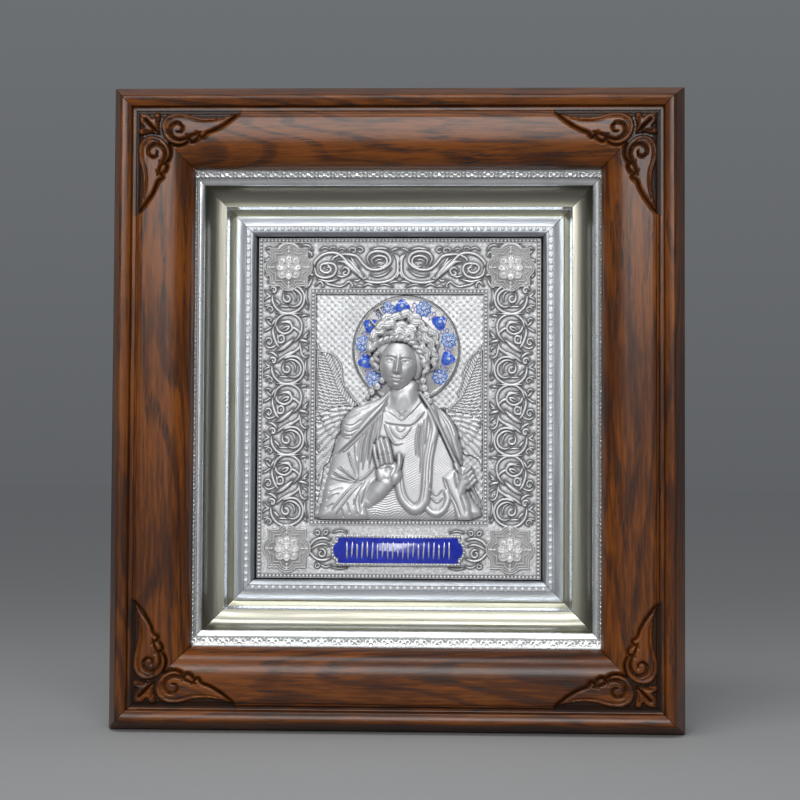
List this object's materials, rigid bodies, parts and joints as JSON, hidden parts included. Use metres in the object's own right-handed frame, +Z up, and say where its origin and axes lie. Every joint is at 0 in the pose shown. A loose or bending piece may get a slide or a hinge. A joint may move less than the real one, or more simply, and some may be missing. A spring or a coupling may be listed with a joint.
{
  "type": "framed icon panel",
  "caption": "Framed religious icon: carved wooden frame, silver-leaf moulding and a stamped silver cover with a winged half figure, halo, rosettes and name plate.",
  "frame": {"origin": "middle of the underside, halfway between front and back", "axes": "+Z up along the height, -Y out of the front, +X to the viewer's right"},
  "size_m": [0.3, 0.052, 0.336],
  "materials": {
    "stained_ash": "ring-porous wood stained red-brown, dark pores, satin lacquer",
    "silver_leaf": "wooden moulding covered in silver leaf, toned and brushed in its cove",
    "aged_silver": "stamped silver-plated metal, matt, darkened in the hollows",
    "blue_enamel": "glossy cobalt enamel on metal, bright strokes and rim",
    "pressed_board": "plain brown pressed board"
  },
  "bodies": {
    "root": {"frame_top_rail": "stained_ash", "frame_bottom_rail": "stained_ash", "frame_left_stile": "stained_ash", "frame_right_stile": "stained_ash", "liner_top": "silver_leaf", "liner_bottom": "silver_leaf", "liner_left": "silver_leaf", "liner_right": "silver_leaf", "relief_cover": "aged_silver", "rosette_top_left": "aged_silver", "rosette_top_right": "aged_silver", "rosette_bottom_left": "aged_silver", "rosette_bottom_right": "aged_silver", "halo": "aged_silver", "angel_figure": "aged_silver", "name_plate": "blue_enamel", "back_board": "pressed_board"}
  },
  "joints": []
}
